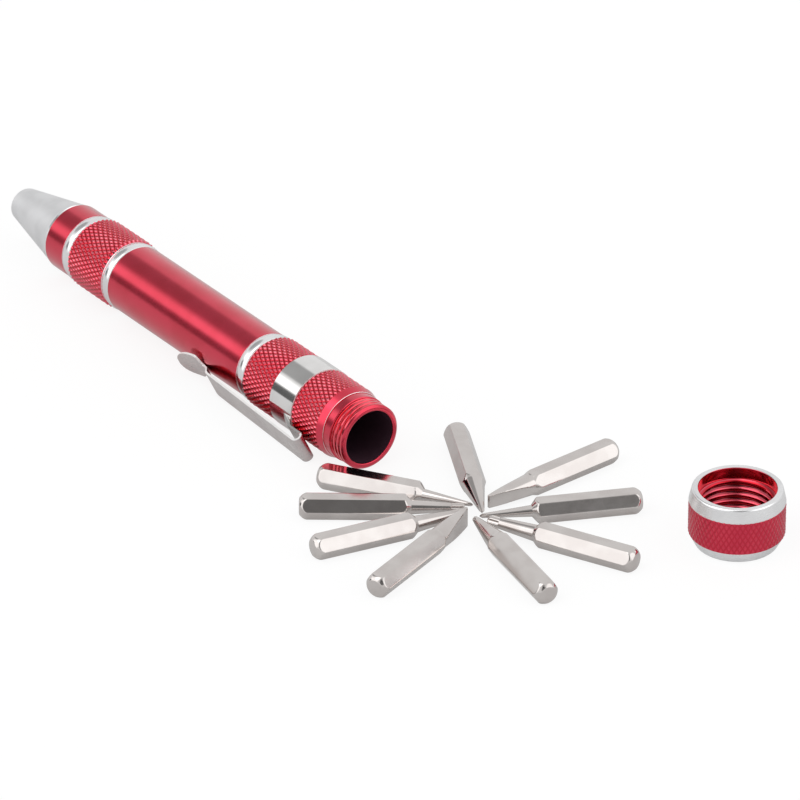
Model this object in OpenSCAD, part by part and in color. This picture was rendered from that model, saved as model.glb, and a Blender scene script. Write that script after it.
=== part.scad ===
// Pocket screwdriver with nine hexagon bits, laid out as a set on a table.
// The pen lies along X on its rear grip and its clip, with the nose towards +X.
// The cap is off and stands with its mouth up. The bits lie in a fan with their tips together.
// The set stands on Z = 0, and the origin is the middle of the ground that it covers.

/* [Bits] */
// Width of a bit's hexagon across its flats
bit_flats = 4; // [3:0.1:5]
// Length of a bit over all
bit_length = 28; // [24:0.5:34]
// Length of the hexagon body, the rest of the bit is shank and tip
bit_body_length = 19; // [15:0.5:20]
// Length of the rounded rear end of a bit
bit_rear_bevel = 1.3; // [0.4:0.1:1.6]
// Length of the bevel in front of the hexagon body
bit_front_bevel = 1.1; // [0.6:0.1:1.6]
// Width of the wide flat blade
wide_blade_width = 3.7; // [2.8:0.1:3.9]
// Width of the medium flat blade
medium_blade_width = 2.4; // [1.8:0.1:3]
// Thickness of a flat blade at its edge
blade_thickness = 0.5; // [0.3:0.05:0.8]

/* [Storage] */
// Rows of bits that the barrel stores, one behind the other, with three bits in each row
bit_rows = 3; // [2:1:4]
// Play round the three bits side by side
storage_play = 0.28; // [0.15:0.01:0.6]
// Play over the length of all the rows
storage_end_play = 0.8; // [0.4:0.1:2]

/* [Barrel] */
// Wall of the smooth tube
tube_wall = 1.35; // [1:0.05:2.2]
// Height of the knurled grips over the smooth tube
grip_rise = 0.4; // [0.2:0.05:0.8]
// Wall of the threaded spigot, to the crest of its thread
spigot_wall = 1.05; // [0.9:0.05:1.25]
// Length of the thread on the spigot
thread_length = 3.4; // [3:0.1:5]
// Length of the plain collar behind the thread
collar_length = 1.7; // [1.2:0.1:2.6]
// Length of the rear grip, with the groove for the clip
rear_grip_length = 23.5; // [21:0.5:30]
// Length of the bevel at the rear grip's end
grip_end_bevel = 1.5; // [0.8:0.1:2]
// Length of the small bevels at the other ends of the grips
grip_edge_bevel = 0.4; // [0.2:0.05:0.8]
// Width of each of the three bright rings
ring_width = 2.05; // [1:0.05:3]
// Length of the front grip
front_grip_length = 10.25; // [6:0.25:16]
// Length of the smooth band behind the nose cone
front_band_length = 5.5; // [3:0.25:9]
// Length of the bevel at the front edge of that band
front_edge_bevel = 0.35; // [0.1:0.05:0.6]

/* [Nose cone] */
// Length of the nose cone in front of the barrel
nose_length = 15.75; // [13:0.25:24]
// Length of its plug inside the barrel
plug_length = 4.65; // [3:0.05:7]
// Diameter of the nose cone at its tip
nose_tip_d = 6; // [5.6:0.1:7.5]
// Step from the barrel down to the foot of the nose cone
nose_step = 0.15; // [0:0.05:0.4]
// Radius of the rounded tip
nose_tip_round = 0.6; // [0.3:0.05:0.6]
// Depth of the hexagon socket
socket_depth = 10; // [8:0.5:12]
// Play of a bit in the socket, across its flats
socket_play = 0.1; // [0.04:0.01:0.2]
// Thickness of the magnet at the bottom of the socket
magnet_thickness = 2; // [1:0.1:3]

/* [Clip] */
// Thickness of the bent strip
strip_thickness = 0.4; // [0.35:0.05:0.6]
// Width of the arm
arm_width = 5.6; // [4:0.1:6.4]
// Width of the band round the grip
band_width = 6.2; // [4:0.1:7]
// Distance from the mouth of the barrel to the band
band_place = 13.85; // [13:0.1:16]
// Height of the band over the knurled grip
band_rise = 0.05; // [0:0.01:0.15]
// Gap where the two ends of the band meet
band_seam = 0.6; // [0.2:0.1:2]
// Distance of the arm's outer face from the grip at the bend
arm_stand = 2.7; // [2.4:0.1:3.6]
// How much closer the arm lies where it starts to narrow
arm_drop = 1.1; // [0.8:0.05:1.4]
// Height of the return bend between the middles of its two legs
bend_height = 1.7; // [1.3:0.05:1.8]
// Length from the rear end of the bend to the arm's flared end
clip_length = 37.9; // [34:0.1:44]
// Distance from the mouth of the barrel to the rear end of the bend
bend_place = 8.5; // [7:0.1:9]
// Width of the arm at its neck
neck_width = 2; // [1.5:0.1:3]
// Width of the flared end
flare_width = 5.4; // [3.6:0.1:5.6]
// Height of the flared end over the neck
flare_rise = 1.4; // [0.6:0.05:1.6]

/* [Cap] */
// Wall of the cap round its mouth
cap_wall = 1.6; // [1.2:0.05:2.4]
// Height of the cap
cap_height = 10.4; // [10:0.1:14]
// Depth of the plain bore at its mouth
cap_mouth_depth = 2.4; // [1.5:0.1:3]
// Thickness of its floor
cap_floor = 2.1; // [1.2:0.1:3]
// Height of the bright bevel round its mouth
cap_top_bevel = 2.45; // [1:0.05:3]
// Height of the bright bevel round its foot
cap_foot_bevel = 2.1; // [1:0.05:3]
// Play of the thread in the cap, on the radius
cap_play = 0.08; // [0.05:0.01:0.2]

/* [Layout] */
// Gap between the pen's mouth and the bit that lies beside it
fan_gap = 0.1; // [0.05:0.05:2]
// Gap between the cap and the ends of the bits
cap_gap = 7.9; // [2:0.1:20]
// Direction from the middle of the fan to the cap
cap_heading = 225.6; // [222:0.2:227]

/* [Hidden] */
$fn = 96;

// Cuts run past the faces that they open by this much
cut_over = 0.5;
// Pieces that are pressed together stay apart by this much
press_gap = 0.02;
// Gap under the pen's clip, and between the arm's neck and the smooth tube
rest_gap = 0.05;
neck_gap = 0.1;

// Bit: radii of the hexagon, and the length of the shank with its tip
bit_corner_r = bit_flats / sqrt(3);
bit_flat_r = bit_flats / 2;
shank_length = bit_length - bit_body_length;
// The shank starts inside the bevelled front of the body
shank_start = bit_body_length - bit_front_bevel;
// The rear end is rounded down to this share of the corner radius
rear_face_share = 0.66;
// Radius of the hollows between the lobes of a star, as a share of the star's radius
lobe_hollow_share = 0.42;
// Angle between a flute of a cross tip and the line from its point to the flute's rear end
flute_lean = 14;

// Barrel: the storage bore holds three hexagons that share a corner
bore_r = 2 * bit_corner_r + storage_play;
tube_r = bore_r + tube_wall;
grip_r = tube_r + grip_rise;
spigot_r = bore_r + spigot_wall;
collar_r = (spigot_r + tube_r) / 2;
mouth_bevel = spigot_wall / 3;
spigot_length = thread_length + collar_length;
storage_depth = bit_rows * bit_length + storage_end_play;
barrel_length = storage_depth + plug_length;
// Stations along the barrel, counted from its mouth
rear_grip_end = spigot_length + rear_grip_length;
front_grip_end = barrel_length - front_band_length - ring_width;
front_grip_start = front_grip_end - front_grip_length;
pen_length = barrel_length + nose_length;
// Height of the pen's axis over the table
pen_height = grip_r;

// Nose cone
socket_flats = bit_flats + socket_play;
nose_tip_r = nose_tip_d / 2;
nose_foot_r = tube_r - nose_step;

// Clip: the groove, the band and the bend
groove_r = grip_r + band_rise - strip_thickness - press_gap;
band_outer_r = grip_r + band_rise;
arm_outer_r = grip_r + arm_stand;
arm_middle_r = arm_outer_r - strip_thickness / 2;
bend_r = bend_height / 2;
bend_middle_r = arm_middle_r - bend_r;
bend_middle_x = bend_place + strip_thickness / 2 + bend_r;
tongue_middle_r = bend_middle_r - bend_r;
// Angle that the bend leaves open at the tongue, so that the arm can spring outwards
bend_open_angle = 12;
// Where the strip blends from the band's curve to the flat tongue
tongue_blend_share = 0.24;
tongue_blend_x = band_place - tongue_blend_share * band_width;
// Where the tongue's root starts to rise, as a share of the band's width
root_share = 0.3;
// How far that root lies inside the band's thickness
root_inset = strip_thickness / 5;
// Stations of the arm, as shares of the clip's length from the rear end of the bend
narrow_share = 0.72;
neck_share = 0.835;
widen_share = 0.88;
clip_end_x = bend_place + clip_length;
narrow_x = bend_place + narrow_share * clip_length;
neck_x = bend_place + neck_share * clip_length;
widen_x = bend_place + widen_share * clip_length;
drop_middle_r = arm_middle_r - arm_drop;
neck_middle_r = tube_r + neck_gap + strip_thickness / 2;
arm_steps = 8;
// How squarely the flared end is rounded off, 2 is an ellipse
end_bluntness = 3.5;
// The clip is turned down beside the barrel until the corner of its arm rests on the table
arm_corner_reach = norm([arm_outer_r, arm_width / 2]);
clip_turn = asin((pen_height - rest_gap) / arm_corner_reach) - atan(arm_width / 2 / arm_outer_r);

// Cap
cap_mouth_r = grip_r;
cap_r = cap_mouth_r + cap_wall;
cap_thread_r = spigot_r + cap_play;
cap_rim_r = cap_r - cap_wall / 3;
cap_foot_share = 0.86;
cap_foot_r = cap_foot_share * cap_r;
cap_edge = cap_wall / 8;

// Fan of bits, going round from the one beside the mouth. Each row: share of the spare turn that
// lies between the first bit and this one, how far the tip stops short of the fan's middle and how
// far it lies to the left of it, the last two as shares of the bit's width
fan_shares = [
    [0, 0.159, 0.526],
    [0, 0.316, 0.371],
    [0.04, 0.321, 0.159],
    [0.1256, 0.359, 0.137],
    [0.4054, 0.182, 0.268],
    [0.5161, 0.627, 0.314],
    [0.6574, -0.083, 0.343],
    [0.7181, 0.824, -0.333],
    [1, -0.216, 0.275]
];
// The tips meet at the middle, where short and blunt shanks need a little more room
tip_room_share = 0.35;
fan_reach = shank_length + tip_room_share * bit_flats * bit_flats / shank_length;
// Heading of the first bit, the turn from it to the last, and the least turn between neighbours
first_heading = -147.6;
fan_angle = 300.1;
crowd_share = 0.6;
least_angle = 2 * atan(crowd_share * bit_flats / (fan_reach + bit_flats));
spare_angle = fan_angle - (len(fan_shares) - 1) * least_angle;
function heading(k) = first_heading + k * least_angle + fan_shares[k][0] * spare_angle;
// Share of a bit's width that the first bit reaches back beside the mouth
beside_mouth_share = 0.8;
first_way = [cos(first_heading), sin(first_heading)];
first_side = [sin(first_heading), -cos(first_heading)];
fan_middle = [0, spigot_r]
    + (bit_corner_r + fan_gap + fan_shares[0][2] * bit_flats) * first_side
    + (fan_reach + bit_body_length - (beside_mouth_share - fan_shares[0][1]) * bit_flats) * first_way;
cap_reach = bit_length + cap_gap + cap_r;
cap_middle = fan_middle + cap_reach * [cos(cap_heading), sin(cap_heading)];

// Where a bit's rear end lies, and the outline of that end, for the ground that the set covers
function bit_rear(k) = let (row = fan_shares[k], way = [cos(heading(k)), sin(heading(k))])
    fan_middle - (fan_reach + bit_body_length + row[1] * bit_flats) * way
    + row[2] * bit_flats * [-way[1], way[0]];
function bit_top_y(k) = let (h = heading(k))
    bit_rear(k)[1] + max(
        rear_face_share * bit_corner_r * abs(cos(h)),
        bit_rear_bevel * sin(h) + bit_corner_r * abs(cos(h)));
ground_left = cap_middle[0] - cap_r;
ground_front = cap_middle[1] - cap_r;
ground_back = max([for (k = [0:len(fan_shares) - 1]) bit_top_y(k)]);
set_shift = [-(pen_length + ground_left) / 2, -(ground_front + ground_back) / 2, 0];

// Half of a raised cosine: 1 at start, 0 at end, flat at both
function blend(x, start, end) = (1 + cos(180 * min(1, max(0, (x - start) / (end - start))))) / 2;

// Height of the arm's middle line over the pen's axis at station x
function arm_r(x) = x <= narrow_x
    ? arm_middle_r - arm_drop * (x - bend_middle_x) / (narrow_x - bend_middle_x)
    : neck_middle_r
        + (drop_middle_r - neck_middle_r) * blend(x, narrow_x, neck_x)
        + flare_rise * (1 - blend(x, neck_x, 2 * clip_end_x - neck_x)) * 2;

// Half width of the arm at station x
function arm_half(x) = x <= neck_x
    ? neck_width / 2 + (arm_width - neck_width) / 2 * blend(x, narrow_x, neck_x)
    : x <= widen_x
        ? flare_width / 2 - (flare_width - neck_width) / 2 * blend(x, neck_x, widen_x)
        : flare_width / 2 * sqrt(max(0, 1 - pow((x - widen_x) / (clip_end_x - widen_x), end_bluntness)));

// Outline of a strip of even thickness along a line of points
function line_normal(points, i) = let (
        a = points[max(0, i - 1)],
        b = points[min(len(points) - 1, i + 1)],
        d = (b - a) / norm(b - a))
    [-d[1], d[0]];
function strip_outline(points, thickness) = concat(
    [for (i = [0:len(points) - 1]) points[i] + line_normal(points, i) * thickness / 2],
    [for (i = [len(points) - 1:-1:0]) points[i] - line_normal(points, i) * thickness / 2]);

// Turned profile in stations along the pen's axis and radii, revolved about X
module turned(profile) {
    rotate([0, 90, 0])
        rotate_extrude()
            polygon([for (p = profile) [p[1], p[0]]]);
}

// Lays out what is drawn with the pen's axis on X and its mouth at the origin
module pen_place() {
    translate(set_shift + [0, 0, pen_height])
        children();
}

// The same, with Y turned to the side of the pen that the clip is on
module clip_place() {
    pen_place()
        rotate([-clip_turn, 0, 0])
            children();
}

// Puts bit number k, drawn along X with its rear end at the origin, in its place in the fan
module bit_place(k) {
    rear = bit_rear(k);
    translate(set_shift + [rear[0], rear[1], bit_flat_r])
        rotate([0, 0, heading(k)])
            children();
}

// Barrel with its grips, rings, collar and threaded spigot
module barrel() {
    color("crimson")
        pen_place()
            turned([
                [0, bore_r],
                [0, spigot_r - mouth_bevel],
                [mouth_bevel, spigot_r],
                [thread_length, spigot_r],
                [thread_length, collar_r],
                [spigot_length, collar_r],
                [spigot_length, tube_r],
                [spigot_length + grip_end_bevel, grip_r],
                [band_place - press_gap, grip_r],
                [band_place - press_gap, groove_r],
                [band_place + band_width + press_gap, groove_r],
                [band_place + band_width + press_gap, grip_r],
                [rear_grip_end - grip_edge_bevel, grip_r],
                [rear_grip_end, tube_r],
                [front_grip_start, tube_r],
                [front_grip_start + grip_edge_bevel, grip_r],
                [front_grip_end - grip_edge_bevel, grip_r],
                [front_grip_end, tube_r],
                [barrel_length - front_edge_bevel, tube_r],
                [barrel_length, tube_r - front_edge_bevel],
                [barrel_length, bore_r]
            ]);
}

// Nose cone with its plug, hexagon socket and the pocket for the magnet
module nose_cone() {
    base_x = barrel_length + press_gap;
    color("silver")
        pen_place()
            difference() {
                turned([
                    [storage_depth, 0],
                    [storage_depth, bore_r - press_gap],
                    [base_x, bore_r - press_gap],
                    [base_x, nose_foot_r],
                    [pen_length - nose_tip_round, nose_tip_r],
                    [pen_length, nose_tip_r - nose_tip_round],
                    [pen_length, 0]
                ]);
                translate([pen_length - socket_depth, 0, 0])
                    rotate([0, 90, 0])
                        rotate([0, 0, 30])
                            cylinder(r = socket_flats / sqrt(3), h = socket_depth + cut_over, $fn = 6);
                translate([pen_length - socket_depth - magnet_thickness, 0, 0])
                    rotate([0, 90, 0])
                        cylinder(d = socket_flats, h = magnet_thickness + cut_over);
            }
}

// Disc magnet that holds a bit in the socket
module socket_magnet() {
    color("dimgray")
        pen_place()
            translate([pen_length - socket_depth - magnet_thickness + press_gap, 0, 0])
                rotate([0, 90, 0])
                    cylinder(d = socket_flats - 2 * press_gap, h = magnet_thickness - press_gap);
}

// Band of the clip, round the rear grip, with the tongue that rises out of its groove to the bend
module clip_band() {
    band_inner_r = band_outer_r - strip_thickness;
    seam_angle = band_seam / band_outer_r * 180 / PI;
    root_angle = asin(arm_width / 2 / band_outer_r);
    root_x = band_place + root_share * band_width;
    tongue_end_x = bend_middle_x + bend_r * sin(bend_open_angle);
    tongue_inner_r = tongue_middle_r - strip_thickness / 2;
    color("lightgray")
        clip_place() {
            translate([band_place, 0, 0])
                rotate([seam_angle / 2 - 90, 0, 0])
                    rotate([0, 90, 0])
                        rotate_extrude(angle = 360 - seam_angle)
                            translate([band_inner_r, 0])
                                square([strip_thickness, band_width]);
            difference() {
                hull() {
                    translate([root_x, 0, 0])
                        rotate([90 - root_angle, 0, 0])
                            rotate([0, 90, 0])
                                rotate_extrude(angle = 2 * root_angle, $fn = 32)
                                    translate([band_inner_r + root_inset, 0])
                                        square([strip_thickness - 2 * root_inset, strip_thickness]);
                    translate([tongue_blend_x, tongue_inner_r, -arm_width / 2])
                        cube([strip_thickness, strip_thickness, arm_width]);
                }
                rotate([0, 90, 0])
                    cylinder(r = grip_r + press_gap, h = band_place - press_gap);
                rotate([0, 90, 0])
                    cylinder(r = band_inner_r + root_inset / 2, h = barrel_length);
            }
            translate([tongue_end_x, tongue_inner_r, -arm_width / 2])
                cube([tongue_blend_x + strip_thickness - tongue_end_x, strip_thickness, arm_width]);
        }
}

// Arm of the clip, with the return bend, the neck and the flared end
module clip_arm() {
    bend_steps = 2 * arm_steps;
    line = concat(
        [for (i = [0:bend_steps])
            let (a = 270 - bend_open_angle - i * (180 - bend_open_angle) / bend_steps)
            [bend_middle_x + bend_r * cos(a), bend_middle_r + bend_r * sin(a)]],
        [for (i = [0:bend_steps]) let (x = narrow_x + i * (clip_end_x - narrow_x) / bend_steps)
            [x, arm_r(x)]]);
    stations = concat(
        [bend_place - cut_over, narrow_x],
        [for (i = [1:bend_steps]) narrow_x + i * (widen_x - narrow_x) / bend_steps],
        [for (i = [1:arm_steps]) widen_x + sin(90 * i / arm_steps) * (clip_end_x - widen_x)]);
    plan = concat(
        [for (x = stations) [x, arm_half(max(x, bend_place))]],
        [for (i = [len(stations) - 2:-1:0]) [stations[i], -arm_half(max(stations[i], bend_place))]]);
    color("lightgray")
        clip_place()
            intersection() {
                linear_extrude(height = arm_width + cut_over, center = true)
                    polygon(strip_outline(line, strip_thickness));
                translate([0, arm_outer_r + cut_over, 0])
                    rotate([90, 0, 0])
                        linear_extrude(height = arm_outer_r)
                            polygon(plan);
            }
}

// Screw cap, mouth up
module cap() {
    color("crimson")
        translate(set_shift + [cap_middle[0], cap_middle[1], 0])
            rotate_extrude()
                polygon([
                    [0, 0],
                    [cap_foot_r - cap_edge, 0],
                    [cap_foot_r, cap_edge],
                    [cap_r - cap_edge, cap_foot_bevel],
                    [cap_r, cap_foot_bevel],
                    [cap_r, cap_height - cap_top_bevel],
                    [cap_rim_r, cap_height - cap_edge],
                    [cap_rim_r - cap_edge, cap_height],
                    [cap_mouth_r + cap_edge, cap_height],
                    [cap_mouth_r, cap_height - cap_edge],
                    [cap_mouth_r, cap_height - cap_mouth_depth],
                    [cap_thread_r, cap_height - cap_mouth_depth],
                    [cap_thread_r, cap_floor],
                    [0, cap_floor]
                ]);
}

// Hexagon body of a bit along X, resting on a flat, bevelled down to root_r in front
module bit_body(root_r) {
    intersection() {
        rotate([0, 90, 0])
            rotate([0, 0, 30])
                cylinder(r = bit_corner_r, h = bit_body_length, $fn = 6);
        turned([
            [0, 0],
            [0, rear_face_share * bit_corner_r],
            [bit_rear_bevel / 3, (1 + rear_face_share) / 2 * bit_corner_r],
            [bit_rear_bevel, bit_corner_r],
            [bit_body_length - bit_front_bevel, bit_corner_r],
            [bit_body_length, root_r],
            [bit_body_length, 0]
        ]);
    }
}

// Cross-tip bit: a slender cone with four flutes cut towards its point
module cross_bit(root_share, point_share) {
    root_r = root_share * bit_flat_r;
    point_r = point_share * bit_flat_r;
    flute_length = shank_length / 3;
    point_length = point_r;
    bit_body(root_r);
    difference() {
        turned([
            [shank_start, 0],
            [shank_start, root_r],
            [bit_body_length, root_r],
            [bit_length - point_length, point_r],
            [bit_length, point_r / 3],
            [bit_length, 0]
        ]);
        for (a = [45:90:315])
            rotate([a, 0, 0])
                translate([bit_length - flute_length, 0, point_r + flute_length / 4])
                    rotate([0, atan(point_r / flute_length) + flute_lean, 0])
                        rotate([45, 0, 0])
                            translate([-cut_over, 0, 0])
                                cube([2 * flute_length, 2 * root_r, 2 * root_r]);
    }
}

// Six-lobe bit: a tapered shank that ends in a short star
module star_bit(root_share, star_share) {
    root_r = root_share * bit_flat_r;
    star_r = star_share * bit_flat_r;
    star_length = shank_length / 4;
    hollow_r = lobe_hollow_share * star_r;
    bit_body(root_r);
    difference() {
        turned([
            [shank_start, 0],
            [shank_start, root_r],
            [bit_body_length, root_r],
            [bit_length - star_length, star_r],
            [bit_length - star_r / 3, star_r],
            [bit_length, star_r * 2 / 3],
            [bit_length, 0]
        ]);
        for (a = [0:60:300])
            rotate([a, 0, 0])
                translate([bit_length - star_length, 0, star_r + hollow_r / 2])
                    rotate([0, 90, 0])
                        cylinder(r = hollow_r, h = star_length + cut_over);
    }
}

// Flat-blade bit: a round shank ground down from both sides to an upright edge
module slotted_bit(root_share, blade_width) {
    root_r = root_share * bit_flat_r;
    bit_body(root_r);
    intersection() {
        turned([
            [shank_start, 0],
            [shank_start, root_r],
            [bit_body_length, root_r],
            [bit_length, blade_width / 2],
            [bit_length, 0]
        ]);
        translate([0, 0, -bit_flats / 2])
            linear_extrude(height = bit_flats)
                polygon([
                    [shank_start, -bit_flat_r],
                    [bit_body_length, -root_r],
                    [bit_length, -blade_thickness / 2],
                    [bit_length, blade_thickness / 2],
                    [bit_body_length, root_r],
                    [shank_start, bit_flat_r]
                ]);
    }
}

module cross_bit_fine() {
    color("gainsboro")
        bit_place(0)
            cross_bit(root_share = 0.55, point_share = 0.16);
}

module star_bit_small() {
    color("gainsboro")
        bit_place(1)
            star_bit(root_share = 0.62, star_share = 0.38);
}

module star_bit_medium() {
    color("gainsboro")
        bit_place(2)
            star_bit(root_share = 0.72, star_share = 0.44);
}

module slotted_bit_wide() {
    color("gainsboro")
        bit_place(3)
            slotted_bit(root_share = 0.95, blade_width = wide_blade_width);
}

module cross_bit_medium() {
    color("gainsboro")
        bit_place(8)
            cross_bit(root_share = 0.95, point_share = 0.2);
}

module slotted_bit_medium() {
    color("gainsboro")
        bit_place(7)
            slotted_bit(root_share = 0.95, blade_width = medium_blade_width);
}

module cross_bit_small() {
    color("gainsboro")
        bit_place(6)
            cross_bit(root_share = 0.5, point_share = 0.2);
}

module star_bit_large() {
    color("gainsboro")
        bit_place(5)
            star_bit(root_share = 0.72, star_share = 0.5);
}

module cross_bit_large() {
    color("gainsboro")
        bit_place(4)
            cross_bit(root_share = 0.95, point_share = 0.28);
}

barrel();
nose_cone();
socket_magnet();
clip_band();
clip_arm();
cap();
cross_bit_fine();
star_bit_small();
star_bit_medium();
slotted_bit_wide();
cross_bit_medium();
slotted_bit_medium();
cross_bit_small();
star_bit_large();
cross_bit_large();
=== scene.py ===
import math

import bmesh
import bpy
import numpy as np
from mathutils import Matrix, Vector


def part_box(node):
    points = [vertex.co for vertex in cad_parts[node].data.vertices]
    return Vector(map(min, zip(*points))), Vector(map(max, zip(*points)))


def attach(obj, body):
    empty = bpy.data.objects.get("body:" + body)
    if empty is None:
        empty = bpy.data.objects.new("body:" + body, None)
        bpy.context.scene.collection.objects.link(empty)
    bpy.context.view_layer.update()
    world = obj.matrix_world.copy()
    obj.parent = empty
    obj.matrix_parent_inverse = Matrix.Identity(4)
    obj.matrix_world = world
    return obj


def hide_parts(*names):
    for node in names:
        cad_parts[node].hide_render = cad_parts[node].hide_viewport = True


# Pocket screwdriver on a pale table, its cap off and its nine bits laid in a fan.
# Lengths are in millimetres, and mm turns them into the scene's metres.
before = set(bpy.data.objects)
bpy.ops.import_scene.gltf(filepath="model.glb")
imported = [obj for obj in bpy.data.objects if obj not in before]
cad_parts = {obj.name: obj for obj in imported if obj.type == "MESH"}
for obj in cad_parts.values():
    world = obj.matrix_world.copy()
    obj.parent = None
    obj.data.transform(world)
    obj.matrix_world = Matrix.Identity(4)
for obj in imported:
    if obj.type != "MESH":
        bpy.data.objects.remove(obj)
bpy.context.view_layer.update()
scene = bpy.context.scene
mm = 0.001
tau = 2 * math.pi
sixth = math.pi / 3
white = (1, 1, 1, 1)


# Camera: it looks over the table along the heading "away"

view = {
    "target": (-4.1226, -9.3585, 0.0),
    "away": (0.8034, -0.5954, 0.0),
    "elevation": 29.7,
    "distance": 1300.0,
    "lens": 336.96,
    "sensor": 36.0,
    "nearest": 0.05,  # in metres, and so is the next
    "farthest": 40.0,
}


def viewWay(right, away, up):
    # A direction of the room, given as the camera sees it
    a = Vector(view["away"])
    r = Vector((a.y, -a.x, 0.0))
    return (r * right + a * away + Vector((0, 0, up))).normalized()


def makeCamera():
    data = bpy.data.cameras.new("camera")
    camera = bpy.data.objects.new("camera", data)
    scene.collection.objects.link(camera)
    e = math.radians(view["elevation"])
    back = -Vector(view["away"]) * math.cos(e) + Vector((0, 0, math.sin(e)))
    camera.location = (Vector(view["target"]) + back * view["distance"]) * mm
    camera.rotation_euler = (-back).to_track_quat("-Z", "Y").to_euler()
    data.sensor_width = view["sensor"]
    data.lens = view["lens"]
    data.clip_start = view["nearest"]
    data.clip_end = view["farthest"]
    scene.camera = camera


makeCamera()
print("camera")


# Shader helpers

floatKind = "NodeSocketFloat"
colorKind = "NodeSocketColor"
vectorKind = "NodeSocketVector"
mixFirst, mixSecond, mixResult = 6, 7, 2  # the Mix node's sockets for colours


def newMaterial(name):
    material = bpy.data.materials.new(name)
    material.use_nodes = True
    tree = material.node_tree
    shader = next(n for n in tree.nodes if n.type == "BSDF_PRINCIPLED")
    return material, tree, shader


def addNode(tree, kind, **settings):
    node = tree.nodes.new(kind)
    for key, value in settings.items():
        if key in node.inputs:
            node.inputs[key].default_value = value
        else:
            setattr(node, key, value)
    return node


def newGroup(name, inputs, outputs):
    group = bpy.data.node_groups.new(name, "ShaderNodeTree")
    for label, kind, value in inputs:
        socket = group.interface.new_socket(name=label, in_out="INPUT", socket_type=kind)
        socket.default_value = value
    for label, kind in outputs:
        group.interface.new_socket(name=label, in_out="OUTPUT", socket_type=kind)
    return group, group.nodes.new("NodeGroupInput"), group.nodes.new("NodeGroupOutput")


def useGroup(tree, group, **values):
    node = tree.nodes.new("ShaderNodeGroup")
    node.node_tree = group
    for key, value in values.items():
        node.inputs[key].default_value = value
    return node


# Lines left by a tool, finest in the direction in which Stretch is largest, and a soft cloud
def buildGrain():
    group, given, made = newGroup(
        "toolGrain",
        [("Stretch", vectorKind, (1.0, 1.0, 1.0)), ("Cloud Size", floatKind, 220.0)],
        [("Lines", floatKind), ("Cloud", floatKind)],
    )
    place = addNode(group, "ShaderNodeTexCoord")
    scaled = addNode(group, "ShaderNodeVectorMath", operation="MULTIPLY")
    lines = addNode(group, "ShaderNodeTexNoise", Scale=1.0, Detail=3.0, Roughness=0.6)
    cloud = addNode(group, "ShaderNodeTexNoise", Detail=2.0, Roughness=0.5)
    link = group.links.new
    link(place.outputs["Object"], scaled.inputs[0])
    link(given.outputs["Stretch"], scaled.inputs[1])
    link(scaled.outputs[0], lines.inputs["Vector"])
    link(place.outputs["Object"], cloud.inputs["Vector"])
    link(given.outputs["Cloud Size"], cloud.inputs["Scale"])
    link(lines.outputs[0], made.inputs["Lines"])
    link(cloud.outputs[0], made.inputs["Cloud"])
    return group


# Two colours mixed by a mask, between its low and high ends
def buildBlend():
    group, given, made = newGroup(
        "maskedColour",
        [
            ("Mask", floatKind, 0.5),
            ("Low", floatKind, 0.0),
            ("High", floatKind, 1.0),
            ("First", colorKind, (0, 0, 0, 1)),
            ("Second", colorKind, white),
        ],
        [("Colour", colorKind)],
    )
    spread = addNode(group, "ShaderNodeMapRange", interpolation_type="SMOOTHSTEP")
    mix = addNode(group, "ShaderNodeMix", data_type="RGBA")
    link = group.links.new
    link(given.outputs["Mask"], spread.inputs["Value"])
    link(given.outputs["Low"], spread.inputs["From Min"])
    link(given.outputs["High"], spread.inputs["From Max"])
    link(spread.outputs[0], mix.inputs[0])
    link(given.outputs["First"], mix.inputs[mixFirst])
    link(given.outputs["Second"], mix.inputs[mixSecond])
    link(mix.outputs[mixResult], made.inputs["Colour"])
    return group


toolGrain = buildGrain()
maskedColour = buildBlend()

# What a look has when it doesn't say so itself
plainLook = {
    "cloud": (0.35, 0.65),    # ends of the mask between the two tints
    "deep": 0.1,              # depth of cut from which the painted shade tint sets in
    "lineHeight": 0.00002,    # in metres
    "metallic": 1.0,
    "specular": 0.5,
    "coat": 0.0,
    "coatRough": 0.2,
}


# Worked metal: two tints over a cloud, a darker third tint painted as shade in what is cut deep,
# and tool lines
def metal(name, look):
    look = {**plainLook, **look}
    material, tree, shader = newMaterial(name)
    link = tree.links.new
    grain = useGroup(tree, toolGrain, Stretch=look["stretch"])
    low, high = look["cloud"]
    first, second = (*look["dark"], 1), (*look["light"], 1)
    tint = useGroup(tree, maskedColour, Low=low, High=high, First=first, Second=second)
    link(grain.outputs["Cloud"], tint.inputs["Mask"])
    colour = tint.outputs["Colour"]
    # A look with a shade tint darkens what the cut depth marks as deep: painted shade in grooves,
    # thread roots and joints
    if "cutShade" in look:
        cutShade = addNode(tree, "ShaderNodeAttribute", attribute_name="cutShade")
        shadeTint = (*look["cutShade"], 1)
        deep = useGroup(tree, maskedColour, Low=look["deep"], High=1.0, Second=shadeTint)
        link(cutShade.outputs["Fac"], deep.inputs["Mask"])
        link(colour, deep.inputs["First"])
        colour = deep.outputs["Colour"]
    link(colour, shader.inputs["Base Color"])
    rough = addNode(tree, "ShaderNodeMapRange")
    rough.inputs["To Min"].default_value, rough.inputs["To Max"].default_value = look["rough"]
    link(grain.outputs["Lines"], rough.inputs["Value"])
    link(rough.outputs[0], shader.inputs["Roughness"])
    bump = addNode(tree, "ShaderNodeBump", Strength=look["bump"], Distance=look["lineHeight"])
    link(grain.outputs["Lines"], bump.inputs["Height"])
    link(bump.outputs[0], shader.inputs["Normal"])
    shader.inputs["Metallic"].default_value = look["metallic"]
    shader.inputs["Specular IOR Level"].default_value = look["specular"]
    shader.inputs["Coat Weight"].default_value = look["coat"]
    shader.inputs["Coat Roughness"].default_value = look["coatRough"]
    return material


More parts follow.
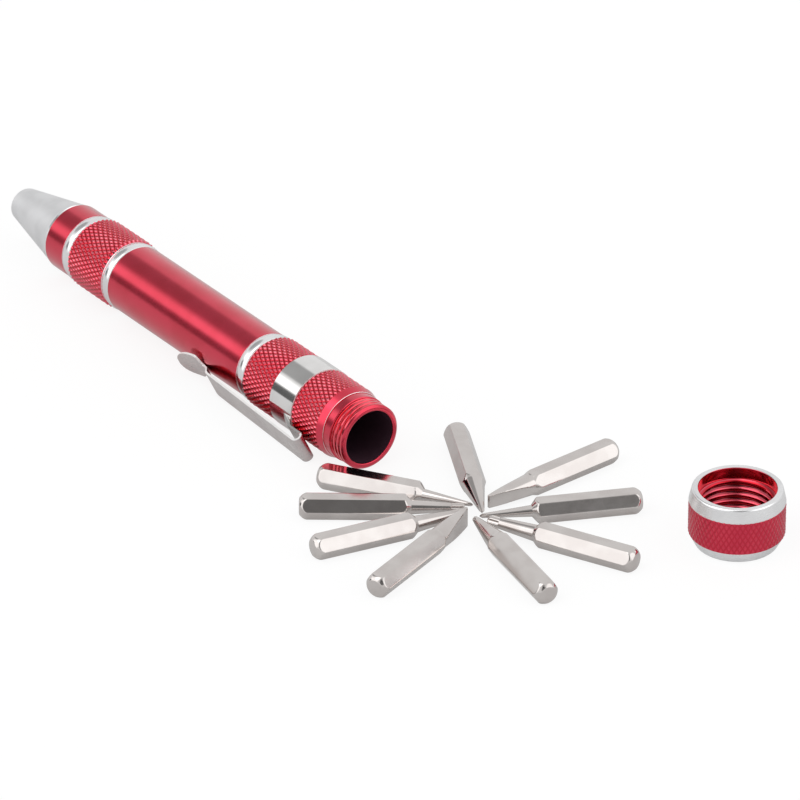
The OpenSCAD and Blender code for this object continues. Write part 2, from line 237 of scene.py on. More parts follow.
# Tool lines: round the pen, round the cap, every way, along the clip and along its band
turned = (9000.0, 60.0, 60.0)
upright = (60.0, 60.0, 9000.0)
allWays = (700.0, 700.0, 700.0)
rolled = (40.0, 4000.0, 4000.0)
polished = (40.0, 900.0, 900.0)
# Where a look has a third colour, it is painted shade for what is cut deep
looks = {
    "redPolished": {
        "dark": (0.71, 0.02, 0.058), "light": (0.77, 0.028, 0.074),
        "stretch": turned, "rough": (0.18, 0.28), "bump": 0.1, "coat": 0.9,
    },
    # The knurl's pale pink is the barrel's red lightened as painted highlight, over ridges and
    # flanks alike
    "redKnurlPaintedHighlight": {
        "dark": (1.0, 0.18, 0.25), "light": (1.0, 0.26, 0.33), "cutShade": (0.6, 0.001, 0.014),
        "stretch": allWays, "rough": (0.06, 0.14), "bump": 0.1, "coat": 0.15, "coatRough": 0.06,
    },
    "redCapKnurl": {
        "dark": (0.68, 0.036, 0.08), "light": (0.76, 0.05, 0.095), "cutShade": (0.6, 0.02, 0.05),
        "stretch": allWays, "rough": (0.2, 0.32), "bump": 0.1, "coat": 0.4, "deep": 0.4,
    },
    "redThread": {
        "dark": (0.8, 0.04, 0.075), "light": (0.88, 0.06, 0.1), "cutShade": (0.34, 0.006, 0.02),
        "stretch": turned, "rough": (0.12, 0.2), "bump": 0.08, "coat": 1.0, "coatRough": 0.1,
    },
    "redInside": {
        "dark": (0.74, 0.05, 0.09), "light": (0.82, 0.08, 0.13), "cutShade": (0.22, 0.006, 0.02),
        "stretch": upright, "rough": (0.1, 0.18), "bump": 0.08, "coat": 1.0, "coatRough": 0.08,
    },
    "brightRing": {
        "dark": (0.88, 0.88, 0.89), "light": (0.94, 0.94, 0.95),
        "stretch": turned, "rough": (0.12, 0.22), "bump": 0.15,
    },
    "brightCap": {
        "dark": (0.86, 0.86, 0.87), "light": (0.93, 0.93, 0.94),
        "stretch": upright, "rough": (0.2, 0.32), "bump": 0.15,
    },
    "satinNose": {
        "dark": (0.78, 0.78, 0.79), "light": (0.84, 0.84, 0.85),
        "stretch": turned, "rough": (0.48, 0.6), "bump": 0.12,
    },
    # The arm's steel is a darker copy of the band's, though the clip is one strip: painted shade
    # on the arm
    "armSteelShaded": {
        "dark": (0.66, 0.61, 0.605), "light": (0.72, 0.68, 0.67),
        "stretch": rolled, "rough": (0.2, 0.32), "bump": 0.1,
    },
    # Near-white, mostly diffuse steel for the strip's edges: a painted highlight along them
    "edgeHighlightSteel": {
        "dark": (0.9, 0.9, 0.89), "light": (0.97, 0.96, 0.95),
        "stretch": rolled, "rough": (0.4, 0.5), "bump": 0.05, "metallic": 0.2,
    },
    # A lighter copy of the arm's steel, though the clip is one strip: painted light on the band
    "bandSteelLit": {
        "dark": (0.85, 0.84, 0.83), "light": (0.92, 0.91, 0.9),
        "stretch": polished, "rough": (0.06, 0.14), "bump": 0.06,
    },
    "bitNickel": {
        "dark": (0.66, 0.615, 0.595), "light": (0.72, 0.68, 0.66),
        "stretch": allWays, "rough": (0.08, 0.18), "bump": 0.07,
    },
    "magnetPlate": {
        "dark": (0.35, 0.35, 0.37), "light": (0.45, 0.45, 0.47),
        "stretch": allWays, "rough": (0.25, 0.4), "bump": 0.1,
    },
    # Near black, as painted shade, for the inside of the barrel's bore and of the nose's socket
    "boreShade": {
        "dark": (0.06, 0.028, 0.042), "light": (0.075, 0.035, 0.052),
        "stretch": turned, "rough": (0.5, 0.65), "bump": 0.2, "metallic": 0.3, "specular": 0.2,
    },
}
paint = {name: metal(name, look) for name, look in looks.items()}
print("materials", len(paint))


# Mesh helpers. A ring of a turned piece is its station along the axis, its radius or radii,
# the material of the stretch that follows it, and how deep it is cut, from 0 to 1, which also sets
# its painted shade.

guard = 0.04            # a long stretch gets a ring this close to each end, where shading bends
longStretch = 8 * guard
closed = 0.001          # radius at which a ring closes an end
tiny = 1e-6             # keeps a division from zero


def finishMesh(name, mesh, sharp):
    mesh.update()
    mesh.shade_smooth()
    mesh.set_sharp_from_angle(angle=math.radians(sharp))
    piece = bpy.data.objects.new(name, mesh)
    scene.collection.objects.link(piece)
    return piece


def stand(piece, node, body):
    # The piece rides on the body, in the place of the node
    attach(piece, body)
    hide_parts(node)


def ringAngles(count):
    return np.arange(count) * tau / count


def fromFlat(angles):
    # The same angles, counted from the middle of the nearest of six flats
    return (angles + sixth / 2) % sixth - sixth / 2


def guarded(rings):
    made = [rings[0]]
    for (x, r, slot, depth), after in zip(rings, rings[1:]):
        nextX, nextR, _, nextDepth = after
        run = nextX - x
        if abs(run) > longStretch:
            for share in (guard / abs(run), 1 - guard / abs(run)):
                between = depth + (nextDepth - depth) * share
                made.append((x + run * share, r + (nextR - r) * share, slot, between))
        made.append(after)
    return made


# Surface of revolution through the rings
def lathe(name, rings, count, toWorld, materials, sharp=40):
    rings = guarded(rings)
    angles = ringAngles(count)
    points, cutShade, faces, slots = [], [], [], []
    for station, radius, slot, depth in rings:
        r = np.broadcast_to(np.asarray(radius, dtype=float), (count,))
        x = np.full(count, station)
        points.append(np.stack([x, r * np.cos(angles), r * np.sin(angles)], axis=1))
        cutShade.append(np.broadcast_to(np.asarray(depth, dtype=float), (count,)))
    for i in range(len(rings) - 1):
        a, b = i * count, (i + 1) * count
        for j in range(count):
            k = (j + 1) % count
            faces.append((a + j, a + k, b + k, b + j))
        slots += [rings[i][2]] * count
    turn = np.array(toWorld)
    world = (np.concatenate(points) @ turn[:3, :3].T + turn[:3, 3]) * mm
    mesh = bpy.data.meshes.new(name)
    mesh.from_pydata([tuple(p) for p in world], [], faces)
    for key in materials:
        mesh.materials.append(paint[key])
    mesh.polygons.foreach_set("material_index", slots)
    # Each point keeps how deep it is cut, which the materials turn into painted shade
    layer = mesh.attributes.new("cutShade", "FLOAT", "POINT")
    layer.data.foreach_set("value", np.concatenate(cutShade).astype(np.float32))
    return finishMesh(name, mesh, sharp)


# Rings of an edge, from the piece's table of steps: along, out, material and depth, the depth also
# setting painted shade
def edgeRings(piece, key, x, r):
    return [(x + along, r + out, slot, depth) for along, out, slot, depth in piece["edges"][key]]


# Profile through corners (station, radius, rounding), all in one material
def rounded(corners, slot, steps):
    made = []
    for i, (x, r, c) in enumerate(corners):
        here = np.array([x, r])
        if c <= 0:
            made.append((x, r, slot, 0.0))
            continue
        before = np.array(corners[i - 1][:2]) - here
        after = np.array(corners[i + 1][:2]) - here
        before /= np.linalg.norm(before)
        after /= np.linalg.norm(after)
        half = math.acos(max(-1.0, min(1.0, float(before @ after)))) / 2
        a, b = here + before * c / math.tan(half), here + after * c / math.tan(half)
        for k in range(steps + 1):
            t = k / steps
            p = (1 - t) ** 2 * a + 2 * t * (1 - t) * here + t ** 2 * b
            made.append((float(p[0]), float(p[1]), slot, 0.0))
    return made


# Rings of a diamond knurl, cut by two crossing sets of helical grooves
def knurlRings(start, end, radius, count, knurl, slot):
    around = (count // knurl["samples"]) * np.arange(count) / count
    rings = []
    steps = max(2, round((end - start) / knurl["step"]))
    for i in range(steps + 1):
        x = start + (end - start) * i / steps
        cut = np.zeros(count)
        for way in (1, -1):
            t = np.abs(((around + way * x / knurl["lead"] + 0.5) % 1.0) - 0.5)
            cut = np.maximum(cut, np.clip(1 - t / knurl["width"], 0, 1))
        rings.append((x, radius - knurl["depth"] * cut, slot, cut))
    return rings


# Rings of a helical thread, which runs out at both ends
def threadRings(start, end, radius, count, thread, slot):
    around = np.arange(count) / count
    rings = []
    steps = max(2, round(abs(end - start) / thread["step"]))
    for i in range(steps + 1):
        x = start + (end - start) * i / steps
        t = np.abs(((x / thread["pitch"] - around) % 1.0) - 0.5) * 2
        cut = np.clip((t - thread["crest"]) / (1 - thread["crest"]), 0, 1)
        fade = min(1.0, abs(x - start) / thread["fade"], abs(end - x) / thread["fade"])
        cut = cut * cut * (3 - 2 * cut) * fade  # with soft flanks
        rings.append((x, radius - thread["depth"] * cut, slot, cut))
    return rings


# Barrel: its stations count from its mouth, and its length and grip come from the frame

low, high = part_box("barrel")
mouth = Vector((low.x, (low.y + high.y) / 2, (low.z + high.z) / 2)) / mm
penFrame = Matrix.Translation(mouth)
# the slot dark paints the bore's inside near black, as shade
red, bright, threaded, dark, knurled = range(5)
barrel = {
    "length": (high.x - low.x) / mm,
    "grip": (high.z - low.z) / mm / 2,
    "rise": 0.4,         # of the grips over the tube
    "wall": 1.35,
    "spigotWall": 1.05,
    "groove": 0.37,      # of the clip, below the grip
    "spigotEnd": 3.4,
    "collarEnd": 5.1,
    "bevel": 1.5,
    "clip": (13.83, 20.07),
    "rearGrip": 28.6,
    "frontGrip": 10.25,
    "frontBand": 5.5,
    "frontEdge": 0.35,
    "plug": 4.65,
    "count": 360,
    "paints": ["redPolished", "brightRing", "redThread", "boreShade", "redKnurlPaintedHighlight"],
    "ring": {"width": 2.05, "line": (0.02, 0.1), "lineDepth": 0.06, "inset": 0.15,
             "proud": 0.14, "steps": 6},
    "knurl": {"samples": 8, "lead": 1.6, "step": 0.178, "width": 0.5, "depth": 0.26,
              "fromBevel": 0.05, "fromRing": 0.35},
    "thread": {"pitch": 0.95, "step": 0.08, "crest": 0.3, "depth": 0.42, "fade": 0.2,
               "fromMouth": 0.3, "fromCollar": 0.28},
    "edges": {
        "mouthInside": [(0.5, 0.0, dark, 0.0), (0.3, 0.0, red, 0.0), (0.1, 0.03, red, 0.0),
                        (0.02, 0.12, red, 0.0), (0.0, 0.22, red, 0.0)],
        "mouthOutside": [(0.0, -0.42, red, 0.0), (0.03, -0.34, red, 0.0),
                         (0.26, -0.04, threaded, 0.0)],
        "neck": [(-0.2, -0.3, threaded, 1.0), (-0.04, -0.3, red, 1.0)],
        "collarStart": [(0.0, -0.1, red, 0.2), (0.1, 0.0, red, 0.0)],
        "collarEnd": [(-0.14, 0.0, red, 0.0), (-0.06, -0.1, red, 1.0), (0.0, -0.1, red, 0.6)],
        "tubeStart": [(0.02, -0.07, bright, 0.0), (0.06, 0.0, red, 0.0)],
        "bevelEnd": [(-0.05, -0.03, red, 0.0)],
        "gripToRing": [(-0.03, -0.02, red, 0.5)],
        "ringToTube": [(0.0, -0.03, red, 0.0), (0.06, 0.0, red, 0.0)],
        "tubeToRing": [(-0.06, 0.0, red, 0.0), (0.0, -0.03, bright, 0.0)],
        "ringToGrip": [(0.03, -0.02, knurled, 0.5)],
        "gripToFrontRing": [(-0.03, -0.02, bright, 0.5)],
        "frontBevel": [(-0.05, 0.0, bright, 0.0), (0.0, -0.02, bright, 0.0)],
        "frontFace": [(-0.03, 0.02, bright, 0.0), (0.0, 0.0, bright, 0.0)],
    },
}
storage = barrel["length"] - barrel["plug"]
tube = barrel["grip"] - barrel["rise"]
bore = tube - barrel["wall"]


def ringBand(start):
    # A bright ring that stands proud in a low crown, with a fine line cut on each side
    ring = barrel["ring"]
    inLine = tube - ring["lineDepth"]
    rings = [(start + x, inLine, bright, 0.0) for x in ring["line"]]
    for i in range(ring["steps"] + 1):
        share = i / ring["steps"]
        x = start + ring["inset"] + (ring["width"] - 2 * ring["inset"]) * share
        rings.append((x, tube + ring["proud"] * (1 - (2 * share - 1) ** 2), bright, 0.0))
    return rings + [(start + ring["width"] - x, inLine, bright, 0.0) for x in ring["line"][::-1]]


def makeBarrel():
    n, length, grip = barrel["count"], barrel["length"], barrel["grip"]
    knurl, thread, wide = barrel["knurl"], barrel["thread"], barrel["ring"]["width"]
    spigot = bore + barrel["spigotWall"]
    collar = (spigot + tube) / 2
    groove = grip - barrel["groove"]
    spigotEnd, collarEnd = barrel["spigotEnd"], barrel["collarEnd"]
    gripStart = collarEnd + barrel["bevel"]
    clipStart, clipEnd = barrel["clip"]
    rearRing = barrel["rearGrip"]
    frontRing = length - barrel["frontBand"] - wide
    middleRing = frontRing - barrel["frontGrip"] - wide
    edge, margin = barrel["frontEdge"], knurl["fromRing"]
    threadStart, threadEnd = thread["fromMouth"], spigotEnd - thread["fromCollar"]

    rings = [(storage, bore, dark, 0.0)]
    rings += edgeRings(barrel, "mouthInside", 0.0, bore)
    rings += edgeRings(barrel, "mouthOutside", 0.0, spigot)
    rings += threadRings(threadStart, threadEnd, spigot, n, thread, threaded)
    rings += edgeRings(barrel, "neck", spigotEnd, spigot)
    rings += edgeRings(barrel, "collarStart", spigotEnd, collar)
    rings += edgeRings(barrel, "collarEnd", collarEnd, collar)
    rings += edgeRings(barrel, "tubeStart", collarEnd, tube)

    rings += edgeRings(barrel, "bevelEnd", gripStart, grip)
    rings += knurlRings(gripStart + knurl["fromBevel"], clipStart, grip, n, knurl, knurled)
    rings += [(clipStart, groove, red, 1.0), (clipEnd, groove, knurled, 1.0)]
    rings += knurlRings(clipEnd, rearRing - margin, grip, n, knurl, knurled)
    rings += edgeRings(barrel, "gripToRing", rearRing, tube)
    rings += ringBand(rearRing)
    rings += edgeRings(barrel, "ringToTube", rearRing + wide, tube)
    rings += [((rearRing + middleRing) / 2, tube, red, 0.0)]

    rings += edgeRings(barrel, "tubeToRing", middleRing, tube)
    rings += ringBand(middleRing)
    rings += edgeRings(barrel, "ringToGrip", middleRing + wide, tube)
    rings += knurlRings(middleRing + wide + margin, frontRing - margin, grip, n, knurl, knurled)
    rings += edgeRings(barrel, "gripToFrontRing", frontRing, tube)
    rings += ringBand(frontRing)
    rings += edgeRings(barrel, "ringToTube", frontRing + wide, tube)
    rings += edgeRings(barrel, "frontBevel", length - edge, tube)
    rings += edgeRings(barrel, "frontFace", length, tube - edge)
    rings += [(length, bore, bright, 0.0)]
    shell = lathe("barrel_shell", rings, n, penFrame, barrel["paints"])
    stand(shell, "barrel", "pen")


makeBarrel()
print("barrel")


# Nose cone with its rounded tip, hexagon socket and plug

satin, socketShade, shoulder = range(3)
nose = {
    "gap": 0.02,                 # play to the barrel, and at the tip
    "step": 0.15,                # of its foot below the tube
    "skirt": (0.2, -0.03),       # where the cone starts, from the foot's edge
    "tip": 3.0,
    "round": 0.9,
    "roundSteps": 8,
    "rim": 0.6,                  # radius where the rounding ends, as a share of the flats
    "flats": 4.1,
    "depth": 10.0,
    "magnet": 2.0,
    "magnetBore": 0.99,          # share of the socket's half width
    "sharp": 30,
    "count": 96,
    "paints": ["satinNose", "boreShade", "brightRing"],
    "edges": {
        "plug": [(0.0, -0.16, satin, 0.0), (0.15, 0.0, satin, 0.0)],
        "foot": [(0.0, -0.12, shoulder, 0.0), (0.1, -0.02, shoulder, 0.0)],
        "socket": [(0.0, 0.12, satin, 0.0), (-0.1, 0.0, socketShade, 0.0)],
    },
}


def makeNose():
    n, gap, half = nose["count"], nose["gap"], nose["flats"] / 2
    start = barrel["length"] + gap
    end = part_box("nose_cone")[1].x / mm - mouth.x
    foot, plug = tube - nose["step"], bore - 2 * gap
    along, out = nose["skirt"]
    rings = [(storage, closed, satin, 0.0)]
    rings += edgeRings(nose, "plug", storage, plug)
    rings += [(start, plug, shoulder, 0.0)]
    rings += edgeRings(nose, "foot", start, foot)
    rings += rounded([
        (start + along, foot + out, 0),
        (end, nose["tip"] - gap, nose["round"]),
        (end, nose["flats"] * nose["rim"], 0),
    ], satin, nose["roundSteps"])

    hexagon = half / np.cos(fromFlat(ringAngles(n) - math.pi / 2))
    bottom, wall = end - nose["depth"], half * nose["magnetBore"]
    back = bottom - nose["magnet"]
    rings += edgeRings(nose, "socket", end, hexagon)
    # The socket's walls and the magnet's recess are painted near black, as shade
    rings += [(bottom, hexagon, socketShade, 1.0), (bottom, wall, socketShade, 1.0)]
    rings += [(back, wall, socketShade, 1.0), (back, closed, socketShade, 1.0)]
    shell = lathe("nose_shell", rings, n, penFrame, nose["paints"], nose["sharp"])
    stand(shell, "nose_cone", "pen")


makeNose()
print("nose")


# Cap, mouth up: its stations count from its foot

low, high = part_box("cap")
capMiddle = Vector(((low.x + high.x) / 2, (low.y + high.y) / 2, low.z)) / mm
capFrame = Matrix.Translation(capMiddle) @ Matrix.Rotation(-math.pi / 2, 4, "Y")
silver, grooved, inside = range(3)
cap = {
    "outer": (high.x - low.x) / mm / 2,
    "height": (high.z - low.z) / mm,
    "wall": 1.6,
    "rimShare": 3,       # the rim's outer edge lies a third of the wall inward
    "foot": 0.86,        # share of the outer radius
    "dish": 0.05,
    "footBevel": 2.1,
    "topBevel": 2.45,
    "floor": 2.1,
    "mouth": 2.4,
    "threadRise": 0.62,
    "count": 448,
    "paints": ["brightCap", "redCapKnurl", "redInside"],
    "knurl": {"samples": 8, "lead": 1.6, "step": 0.16, "width": 0.5, "depth": 0.16,
              "fromFoot": 0.06, "fromTop": 0.1},
    "thread": {"pitch": 1.25, "step": 0.08, "crest": 0.25, "depth": -0.42, "fade": 0.2,
               "fromMouth": 0.02, "fromFloor": 0.5},
    "edges": {
        "foot": [(0.05, -1.2, silver, 0.0), (0.0, -1.05, silver, 0.0), (0.0, -0.2, silver, 0.0),
                 (0.04, -0.08, silver, 0.0), (0.16, 0.02, silver, 0.0)],
        "footBevel": [(-0.14, -0.2, silver, 0.0), (-0.04, -0.16, grooved, 0.0)],
        "topBevel": [(-0.02, -0.12, silver, 0.0), (0.12, -0.04, silver, 0.0)],
        "rimOutside": [(-0.28, 0.03, silver, 0.0), (-0.12, -0.05, silver, 0.0),
                       (-0.02, -0.2, silver, 0.0), (0.0, -0.3, silver, 0.0)],
        "rimInside": [(0.0, 0.2, silver, 0.0), (-0.05, 0.07, inside, 0.0),
                      (-0.2, 0.0, inside, 0.0)],
        "mouth": [(0.15, 0.0, inside, 0.0), (0.0, -0.2, inside, 0.3)],
        "floor": [(0.3, 0.1, inside, 1.0), (0.0, -0.1, inside, 1.0)],
    },
}


def makeCap():
    n, height, outer = cap["count"], cap["height"], cap["outer"]
    knurl, thread = cap["knurl"], cap["thread"]
    foot, inner = cap["foot"] * outer, outer - cap["wall"]
    rim = outer - cap["wall"] / cap["rimShare"]
    threadRadius = inner - cap["threadRise"]
    bevel, top = cap["footBevel"], height - cap["topBevel"]
    step, floor = height - cap["mouth"], cap["floor"]
    knurlStart, knurlEnd = bevel + knurl["fromFoot"], top - knurl["fromTop"]
    threadStart, threadEnd = step - thread["fromMouth"], floor + thread["fromFloor"]

    rings = [(cap["dish"], closed, silver, 0.0)]
    rings += edgeRings(cap, "foot", 0.0, foot)
    rings += edgeRings(cap, "footBevel", bevel, outer)
    rings += knurlRings(knurlStart, knurlEnd, outer, n, knurl, grooved)
    rings += edgeRings(cap, "topBevel", top, outer)
    rings += edgeRings(cap, "rimOutside", height, rim)
    rings += edgeRings(cap, "rimInside", height, inner)
    rings += edgeRings(cap, "mouth", step, inner)
    rings += threadRings(threadStart, threadEnd, threadRadius, n, thread, inside)
    rings += edgeRings(cap, "floor", floor, threadRadius)
    rings += [(floor, closed, inside, 1.0)]
    shell = lathe("cap_shell", rings, n, capFrame, cap["paints"])
    stand(shell, "cap", "cap")


makeCap()
print("cap")


# Bits: each is one polar surface, the smallest of the hexagon, the bevels and the cuts of its tip

bit = {
    "body": 19.0,                # length of the hexagon
    "rear": 1.5,                 # length of the bevels at its two ends
    "front": 1.1,
    "rearShare": 0.62,           # share of the radius that the rear bevel leaves, and its curve
    "rearPower": 2.1,
    "rearEdge": (0.06, -0.09),
    "corner": 0.02,              # taken off the hexagon's corners
    "blade": 0.5,                # thickness of a slotted tip
    "lean": 14.0,                # of a flute's floor, in degrees
    "hollow": 0.42,              # radius of a star's hollow, as a share of the tip
    "core": 0.04,                # least radius that the flutes leave
    "flute": 3,                  # flutes reach over a third of the shank, a star over a quarter
    "star": 4,
    "steps": (12, 4, 8, 9, 22),  # stations on the stretches from rear to tip
    "widest": 0.9,               # points farther out than this share belong to the hexagon
    "endBands": ((0.25, 0.08), (0.02, 0.02)),
    "sharp": 38,
    "count": 120,
    # Kind of tip, and its radius at the root and the end, as shares of the hexagon's half width
    "tips": {
        "cross_bit_fine": ("cross", 0.55, 0.16),
        "cross_bit_small": ("cross", 0.5, 0.2),
        "cross_bit_medium": ("cross", 0.95, 0.2),
        "cross_bit_large": ("cross", 0.95, 0.28),
        "star_bit_small": ("star", 0.62, 0.38),
        "star_bit_medium": ("star", 0.72, 0.44),
        "star_bit_large": ("star", 0.72, 0.5),
        "slotted_bit_medium": ("slotted", 0.95, 0.6),
        "slotted_bit_wide": ("slotted", 0.95, 0.925),
    },
}
uncut = 99.0  # a radius beyond every bit


def bitFrame(node):
    # Rear end and direction of a bit, its length and half width, from where its solid lies
    source = bpy.data.objects[node]
    points = np.array([source.matrix_world @ v.co for v in source.data.vertices]) / mm
    flat = points[:, :2] - points[:, :2].mean(axis=0)
    way = np.linalg.svd(flat, full_matrices=False)[2][0]
    across = np.abs(flat @ np.array([-way[1], way[0]]))
    if (flat @ way)[across > bit["widest"] * across.max()].mean() > 0:
        way = -way
    for rearBand, tipBand in bit["endBands"]:
        along = flat @ way
        rear = points[along < along.min() + rearBand].mean(axis=0)
        tip = points[along > along.max() - tipBand].mean(axis=0)
        x = Vector((tip[0] - rear[0], tip[1] - rear[1], 0.0))
        length = x.length
        x.normalize()
        way = np.array(x[:2])
    half = points[:, 2].max() / 2
    turn = Matrix((x, Vector((-x.y, x.x, 0.0)), Vector((0, 0, 1)))).transposed().to_4x4()
    return Matrix.Translation((rear[0], rear[1], half)) @ turn, length, half


def slottedCut(x, length, root, angles):
    thick = np.interp(x, [bit["body"], length], [root, bit["blade"] / 2])
    return thick / np.maximum(np.abs(np.sin(angles)), tiny)


def starCut(x, starStart, end, angles):
    if x < starStart:
        return uncut
    turn = fromFlat(angles)
    hollow = bit["hollow"] * end
    reach = end + hollow / 2
    side = reach * np.sin(turn)
    within = np.maximum(hollow ** 2 - side ** 2, 0)
    return np.where(within > 0, reach * np.cos(turn) - np.sqrt(within), uncut)


def crossCut(x, length, flute, end, angles):
    slope = math.tan(math.atan(end / flute) + math.radians(bit["lean"]))
    floor = end + flute / 4 - (x - length + flute) * slope
    quarter = math.pi / 2
    turn = np.abs(angles % quarter - quarter / 2)
    return max(floor, bit["core"]) / np.maximum(np.cos(turn) - np.sin(turn), tiny)


def bitRings(kind, rootShare, endShare, length, half):
    angles = ringAngles(bit["count"]) - math.pi / 2
    corner = half / math.cos(sixth / 2)
    hexagon = np.minimum(half / np.cos(fromFlat(angles)), corner - bit["corner"])
    root, end = rootShare * half, endShare * half
    body, rear, front = bit["body"], bit["rear"], bit["body"] - bit["front"]
    shank = length - body
    flute, starStart = shank / bit["flute"], length - shank / bit["star"]
    shapes = {
        "cross": ([body, length - end, length], [root, end, end / 3]),
        "star": ([body, starStart, length - end / 3, length], [root, end, end, end * 2 / 3]),
        "slotted": ([body, length], [root, end]),
    }

    edgeX, edgeOut = bit["rearEdge"]
    share, power = bit["rearShare"], bit["rearPower"]
    rings = [(0.0, closed, 0, 0.0), (0.0, corner * share + edgeOut, 0, 0.0)]
    stations = [edgeX]
    ends = [edgeX, rear, front, body, length - flute, length]
    for first, last, steps in zip(ends, ends[1:], bit["steps"]):
        stations += list(np.linspace(first, last, steps)[1:])
    for x in stations:
        left = hexagon
        if x <= rear:
            turnedR = corner * (1 - (1 - share) * (1 - x / rear) ** power)
        elif x <= body:
            turnedR = np.interp(x, [front, body], [corner, root])
        else:
            turnedR = np.interp(x, *shapes[kind])
            if kind == "slotted":
                left = slottedCut(x, length, root, angles)
            elif kind == "star":
                left = starCut(x, starStart, end, angles)
            else:
                left = crossCut(x, length, flute, end, angles)
        rings.append((float(x), np.minimum(left, turnedR), 0, 0.0))
    return rings + [(length, closed, 0, 0.0)]


def makeBits():
    for node, (kind, rootShare, endShare) in bit["tips"].items():
        toWorld, length, half = bitFrame(node)
        rings = bitRings(kind, rootShare, endShare, length, half)
        shell = lathe(node + "_shell", rings, bit["count"], toWorld, ["bitNickel"], bit["sharp"])
        stand(shell, node, node)


makeBits()
print("bits")


# Clip: the strip's edges are rounded over, but not where its two halves meet, and carry a painted
# highlight in pale steel

strip = {
    "edge": 0.19,
    "steps": 4,
    "profile": 0.5,
    "turn": 40.0,        # degrees from which an edge is rounded over
    "flat": 0.5,         # degrees up to which facets are taken as one flat
    "sharp": 8.0,
    "weld": 1e-6,
    "bandSide": (1.0, 0.0, 0.0),    # way in which the edges of the band face
    "seam": (-11.27, 16.85, 3.03),
    "seamAxis": (0.0, 0.436, 0.9),  # along the bend, as the edges of the arm face
    "seamReach": 0.7,
    "highlightFacing": 0.6,       # a facet that faces that way by more than this gets the painted edge highlight
}


def offSeam(edge, toWorld):
    middle = toWorld @ ((edge.verts[0].co + edge.verts[1].co) / 2)
    away = middle / mm - Vector(strip["seam"])
    return away.cross(Vector(strip["seamAxis"]).normalized()).length > strip["seamReach"]


# Rounded strip from the node's solid: its flat sides in one steel, its edges in a pale steel that
# paints a highlight along them
def softened(node, key, edgeWay):
    source = bpy.data.objects[node]
    toWorld = source.matrix_world
    work = bmesh.new()
    work.from_mesh(source.data)
    bmesh.ops.remove_doubles(work, verts=work.verts, dist=strip["weld"])
    bmesh.ops.dissolve_limit(work, angle_limit=math.radians(strip["flat"]),
                             verts=work.verts, edges=work.edges)
    limit = math.radians(strip["turn"])
    sharp = [e for e in work.edges if e.is_manifold and e.calc_face_angle() > limit]
    sharp = [e for e in sharp if offSeam(e, toWorld)]
    bmesh.ops.bevel(work, geom=sharp, offset=strip["edge"] * mm, offset_type="OFFSET",
                    affect="EDGES", segments=strip["steps"], profile=strip["profile"],
                    clamp_overlap=True)
    bmesh.ops.triangulate(work, faces=work.faces)
    turn = toWorld.to_3x3()
    facing = [abs((turn @ f.normal).normalized().dot(Vector(edgeWay))) for f in work.faces]
    mesh = bpy.data.meshes.new(node + "_shell")
    work.to_mesh(mesh)
    work.free()
    mesh.transform(toWorld)
    if "custom_normal" in mesh.attributes:
        mesh.attributes.remove(mesh.attributes["custom_normal"])
    mesh.materials.clear()
    mesh.materials.append(paint[key])
    mesh.materials.append(paint["edgeHighlightSteel"])
    mesh.polygons.foreach_set("material_index", [int(share > strip["highlightFacing"]) for share in facing])
    return finishMesh(node + "_shell", mesh, strip["sharp"])


bandShell = softened("clip_band", "bandSteelLit", strip["bandSide"])
stand(bandShell, "clip_band", "pen")
armShell = softened("clip_arm", "armSteelShaded", strip["seamAxis"])
stand(armShell, "clip_arm", "clip")
for slot in bpy.data.objects["socket_magnet"].material_slots:
    slot.material = paint["magnetPlate"]
print("clip and magnet")


# Table: its grey and its glow, as the camera sees them and as the metal mirrors them

table = {"size": 12.0, "rough": 0.8, "seen": (0.14, 0.875), "mirrored": (0.4, 0.28)}


def makeTable():
    size = table["size"]
    mesh = bpy.data.meshes.new("table")
    corners = [(-size, -size, 0), (size, -size, 0), (size, size, 0), (-size, size, 0)]
    mesh.from_pydata(corners, [], [(0, 1, 2, 3)])
    material, tree, shader = newMaterial("tableWhite")
    other = addNode(tree, "ShaderNodeBsdfPrincipled")
    for made, (base, glow) in ((shader, table["mirrored"]), (other, table["seen"])):
        made.inputs["Base Color"].default_value = (base, base, base, 1)
        made.inputs["Roughness"].default_value = table["rough"]
        made.inputs["Specular IOR Level"].default_value = 0.0
        made.inputs["Emission Color"].default_value = white
        made.inputs["Emission Strength"].default_value = glow
    ray = addNode(tree, "ShaderNodeLightPath")
    mix = addNode(tree, "ShaderNodeMixShader")
    out = next(n for n in tree.nodes if n.type == "OUTPUT_MATERIAL")
    tree.links.new(ray.outputs["Is Camera Ray"], mix.inputs[0])
    tree.links.new(shader.outputs[0], mix.inputs[1])
    tree.links.new(other.outputs[0], mix.inputs[2])
    tree.links.new(mix.outputs[0], out.inputs["Surface"])
    mesh.materials.append(material)
    floor = bpy.data.objects.new("table", mesh)
    scene.collection.objects.link(floor)


# Room: its even light, and bright and dark panels. Each has its direction (right, away, up),
# its inner and outer angle, and how much it changes the light.

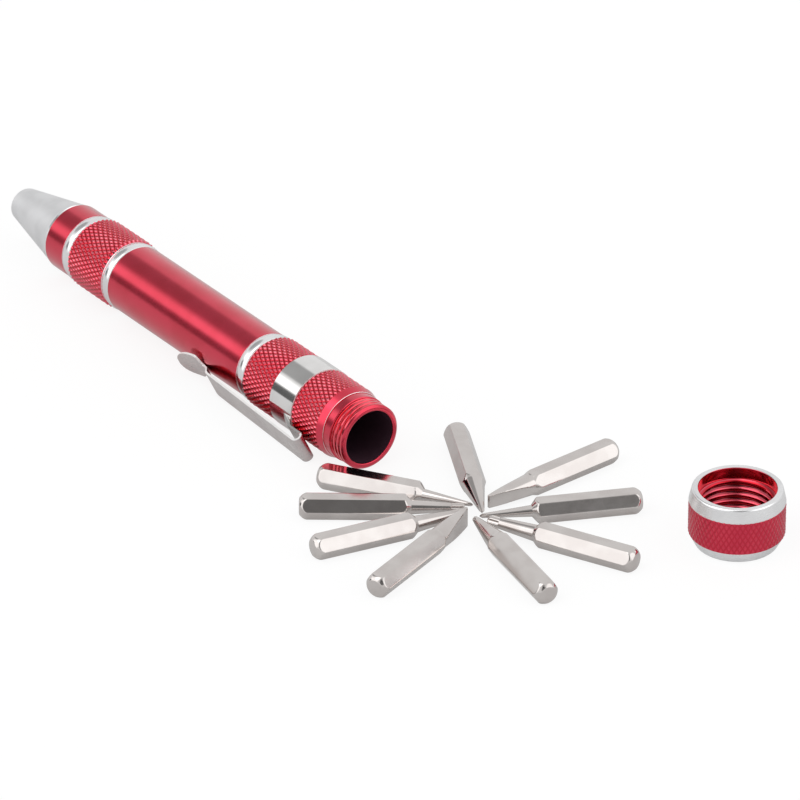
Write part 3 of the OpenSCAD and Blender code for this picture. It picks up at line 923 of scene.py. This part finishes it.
room = {
    "light": 0.78,
    "panels": [
        ((-0.868, 0.225, 0.442), 6, 12, 0.45),
        ((-0.98, 0.142, 0.14), 6, 12, -0.68),
        ((-0.47, 0.52, 0.713), 15, 21, -0.42),
        ((-0.35, -0.25, 0.9), 12, 24, 1.1),
        ((-0.82, -0.33, 0.47), 20, 34, 0.6),
        ((0.81, -0.36, 0.47), 20, 34, 0.6),
        ((0.1, -0.86, 0.5), 14, 22, -0.62),
        ((0.0, -0.56, 0.83), 9, 14, -0.45),
    ],
}


def makeRoom():
    world = bpy.data.worlds.new("room")
    world.use_nodes = True
    tree = world.node_tree
    link = tree.links.new
    shade = next(n for n in tree.nodes if n.type == "BACKGROUND")
    place = addNode(tree, "ShaderNodeTexCoord")
    total = None
    for way, inner, outer, change in room["panels"]:
        dot = addNode(tree, "ShaderNodeVectorMath", operation="DOT_PRODUCT")
        dot.inputs[1].default_value = viewWay(*way)
        link(place.outputs["Generated"], dot.inputs[0])
        panel = addNode(tree, "ShaderNodeMapRange", interpolation_type="SMOOTHSTEP")
        panel.inputs["From Min"].default_value = math.cos(math.radians(outer))
        panel.inputs["From Max"].default_value = math.cos(math.radians(inner))
        panel.inputs["To Max"].default_value = change
        link(dot.outputs["Value"], panel.inputs["Value"])
        add = addNode(tree, "ShaderNodeMath", operation="ADD")
        if total is None:
            add.inputs[0].default_value = room["light"]
        else:
            link(total, add.inputs[0])
        link(panel.outputs[0], add.inputs[1])
        total = add.outputs[0]
    link(total, shade.inputs["Color"])
    plain = addNode(tree, "ShaderNodeBackground")
    ray = addNode(tree, "ShaderNodeLightPath")
    mix = addNode(tree, "ShaderNodeMixShader")
    out = next(n for n in tree.nodes if n.type == "OUTPUT_WORLD")
    plain.inputs["Color"].default_value = white
    link(ray.outputs["Is Camera Ray"], mix.inputs[0])
    link(shade.outputs[0], mix.inputs[1])
    link(plain.outputs[0], mix.inputs[2])
    link(mix.outputs[0], out.inputs["Surface"])
    scene.world = world


makeTable()
makeRoom()
scene.view_settings.view_transform = "Standard"
print("table and room")
